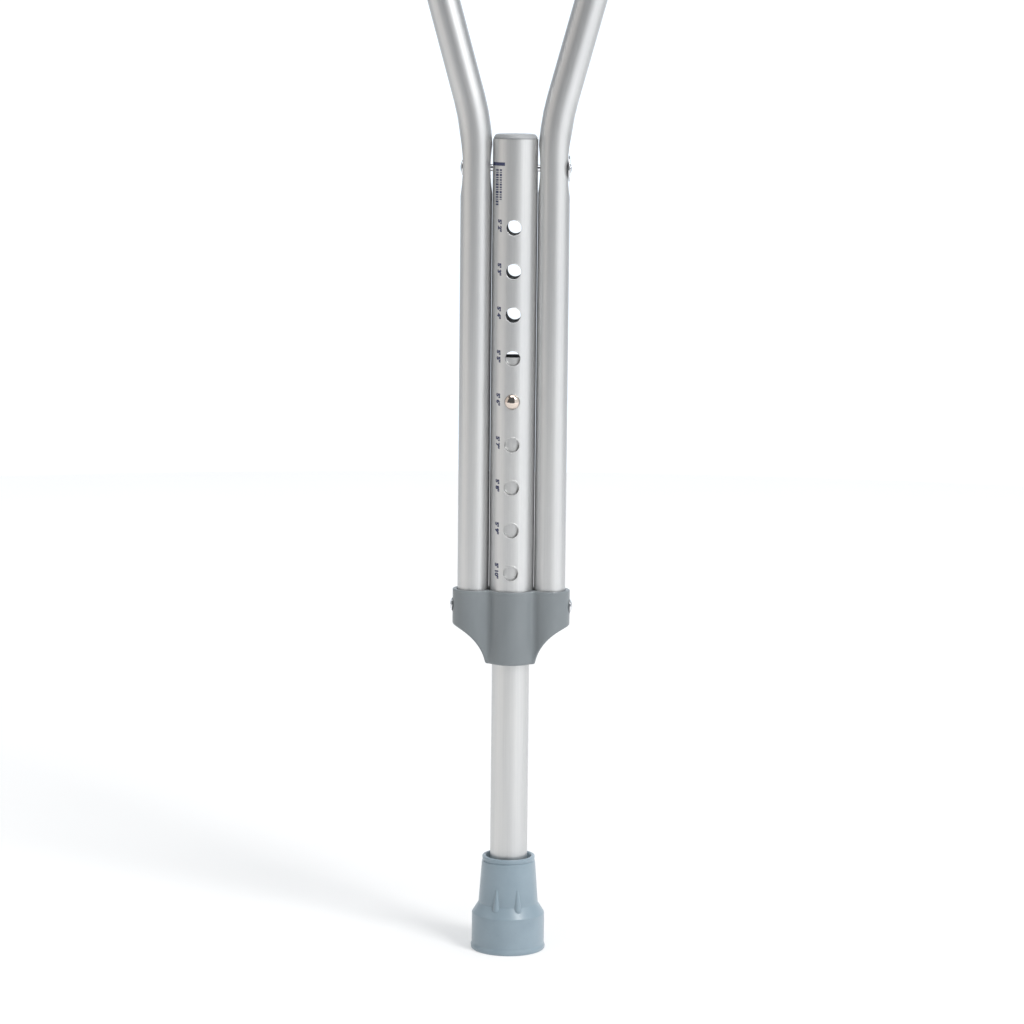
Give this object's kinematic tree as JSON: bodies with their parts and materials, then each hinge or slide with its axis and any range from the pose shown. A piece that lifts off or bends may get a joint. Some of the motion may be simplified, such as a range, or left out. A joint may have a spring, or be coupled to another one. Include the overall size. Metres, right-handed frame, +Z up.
{
  "type": "underarm crutch",
  "caption": "Aluminium underarm crutch with a push-button telescopic leg, rubber tip, movable handgrip and padded underarm rest.",
  "frame": {"origin": "middle of the rubber tip's foot, at floor level, with the snap buttons in the middle height hole", "axes": "+Z up along the crutch, X from upright to upright with the wing nut at +X, -Y towards the side that carries the height scale"},
  "size_m": [0.215, 0.0444, 1.245],
  "materials": {
    "satin_aluminium": "satin anodised drawn tube",
    "collar_plastic": "moulded nylon, fine matt texture",
    "cap_plastic": "moulded polyethylene",
    "tip_rubber": "blue-grey moulded rubber",
    "cushion_foam": "closed-cell foam with a vinyl skin",
    "plated_steel": "bright zinc plate",
    "nickel_button": "polished nickel plate",
    "spring_steel": "tempered strip",
    "core_plastic": "moulded polypropylene"
  },
  "bodies": {
    "frame": {"left_upright": "satin_aluminium", "right_upright": "satin_aluminium", "centre_tube": "satin_aluminium", "centre_tube_cap": "cap_plastic", "collar": "collar_plastic", "collar_rivets": "plated_steel", "through_rivet": "plated_steel", "rivet_washer": "plated_steel", "underarm_bar": "core_plastic", "underarm_cushion": "cushion_foam", "underarm_screws": "plated_steel"},
    "leg": {"leg_tube": "satin_aluminium", "rubber_tip": "tip_rubber", "tip_insert": "plated_steel", "snap_spring": "spring_steel"},
    "front_button": {"front_button": "nickel_button"},
    "rear_button": {"rear_button": "nickel_button"},
    "handgrip": {"grip_core": "core_plastic", "grip_cushion": "cushion_foam", "grip_bolt": "plated_steel", "grip_bolt_washer": "plated_steel"},
    "nut_washer": {"wing_nut_washer": "plated_steel"},
    "wing_nut": {"wing_nut": "plated_steel"}
  },
  "joints": [
    {"name": "leg_slide", "type": "slide", "parent": "frame", "child": "leg", "axis": [0, 0, 1], "range_m": [-0.1016, 0.1016], "deforming": ["front_button", "rear_button", "snap_spring"]},
    {"name": "front_button_press", "type": "slide", "parent": "leg", "child": "front_button", "axis": [0, 1, 0], "range_m": [0, 0.0055], "stiffness_N_per_m": 2000, "springref_m": -0.001},
    {"name": "rear_button_press", "type": "slide", "parent": "leg", "child": "rear_button", "axis": [0, -1, 0], "range_m": [0, 0.0055], "stiffness_N_per_m": 2000, "springref_m": -0.001},
    {"name": "handgrip_slide", "type": "slide", "parent": "frame", "child": "handgrip", "axis": [0, 0, 1], "range_m": [-0.0762, 0.0762]},
    {"name": "washer_slide", "type": "slide", "parent": "handgrip", "child": "nut_washer", "axis": [1, 0, 0], "range_m": [0, 0.00382]},
    {"name": "wing_nut_turn", "type": "hinge", "parent": "nut_washer", "child": "wing_nut", "pos_m": [0.08, 0, 0.825], "axis": [1, 0, 0], "range_deg": [0, 1080]}
  ],
  "couplings": [
    {"joint": "washer_slide", "follows": "wing_nut_turn", "m_per_rad": 0.0002021}
  ]
}
